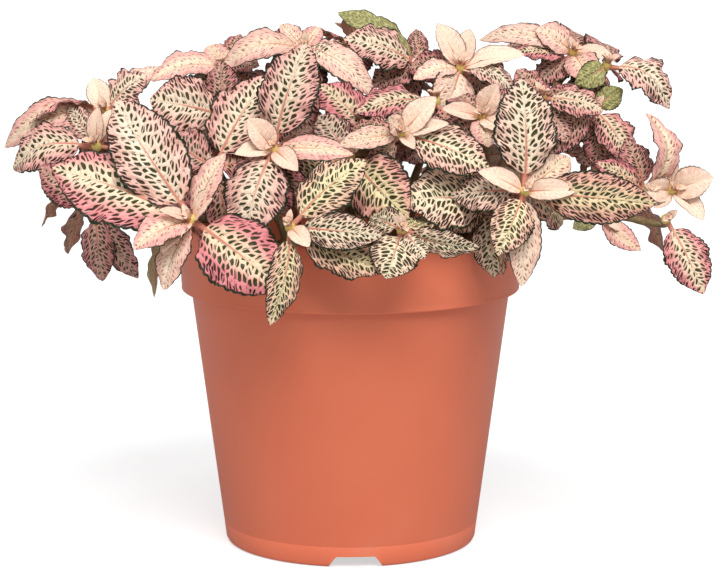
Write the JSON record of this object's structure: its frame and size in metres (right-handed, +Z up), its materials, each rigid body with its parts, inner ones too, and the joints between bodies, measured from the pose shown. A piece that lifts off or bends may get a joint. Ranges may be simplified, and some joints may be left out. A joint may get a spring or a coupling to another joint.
{
  "type": "potted nerve plant",
  "caption": "Nerve plant with dark green leaves netted in pink veins, spreading over the rim of a plain round terracotta-coloured plastic grower pot.",
  "frame": {"origin": "on the surface that the pot stands on, under the middle of the whole plant's box, which is within 1 mm of the pot's axis", "axes": "+Z up along the pot's axis, +X to the plant's right, where it spreads the widest, -Y towards its front"},
  "size_m": [0.2429, 0.1786, 0.1859],
  "materials": {
    "terracotta_plastic": "satin moulded plastic in a terracotta colour",
    "potting_soil": "dark damp crumbly peat soil, matte",
    "plant_stem": "reddish brown soft stem, satin",
    "nerve_leaf": "satin leaf, dark green cells in a net of pink and cream veins"
  },
  "bodies": {
    "root": {"pot": "terracotta_plastic", "potting_soil": "potting_soil", "stem_01": "plant_stem", "stem_02": "plant_stem", "stem_03": "plant_stem", "stem_04": "plant_stem", "stem_05": "plant_stem", "stem_06": "plant_stem", "stem_07": "plant_stem", "stem_08": "plant_stem", "stem_09": "plant_stem", "stem_10": "plant_stem", "stem_11": "plant_stem", "stem_12": "plant_stem", "stem_13": "plant_stem", "stem_14": "plant_stem", "stem_15": "plant_stem", "stem_16": "plant_stem", "stem_17": "plant_stem", "stem_18": "plant_stem", "stem_19": "plant_stem", "stem_20": "plant_stem", "stem_21": "plant_stem", "stem_22": "plant_stem", "shoot_a": "nerve_leaf", "shoot_b": "nerve_leaf", "shoot_c": "nerve_leaf", "shoot_d": "nerve_leaf", "shoot_e": "nerve_leaf", "shoot_f": "nerve_leaf", "shoot_g": "nerve_leaf", "shoot_h": "nerve_leaf", "shoot_j": "nerve_leaf", "shoot_k": "nerve_leaf", "shoot_l": "nerve_leaf", "shoot_m": "nerve_leaf", "shoot_n": "nerve_leaf", "shoot_p": "nerve_leaf", "shoot_q": "nerve_leaf", "shoot_r": "nerve_leaf", "shoot_s": "nerve_leaf", "shoot_t": "nerve_leaf", "shoot_u": "nerve_leaf", "shoot_v": "nerve_leaf", "shoot_w": "nerve_leaf", "shoot_x": "nerve_leaf", "shoot_y": "nerve_leaf", "shoot_z": "nerve_leaf", "shoot_aa": "nerve_leaf", "shoot_bb": "nerve_leaf", "shoot_cc": "nerve_leaf", "shoot_dd": "nerve_leaf", "shoot_back_a": "nerve_leaf", "shoot_back_b": "nerve_leaf", "shoot_back_c": "nerve_leaf", "shoot_back_d": "nerve_leaf", "shoot_back_e": "nerve_leaf", "shoot_back_f": "nerve_leaf", "shoot_back_g": "nerve_leaf", "shoot_back_h": "nerve_leaf"}
  },
  "joints": []
}
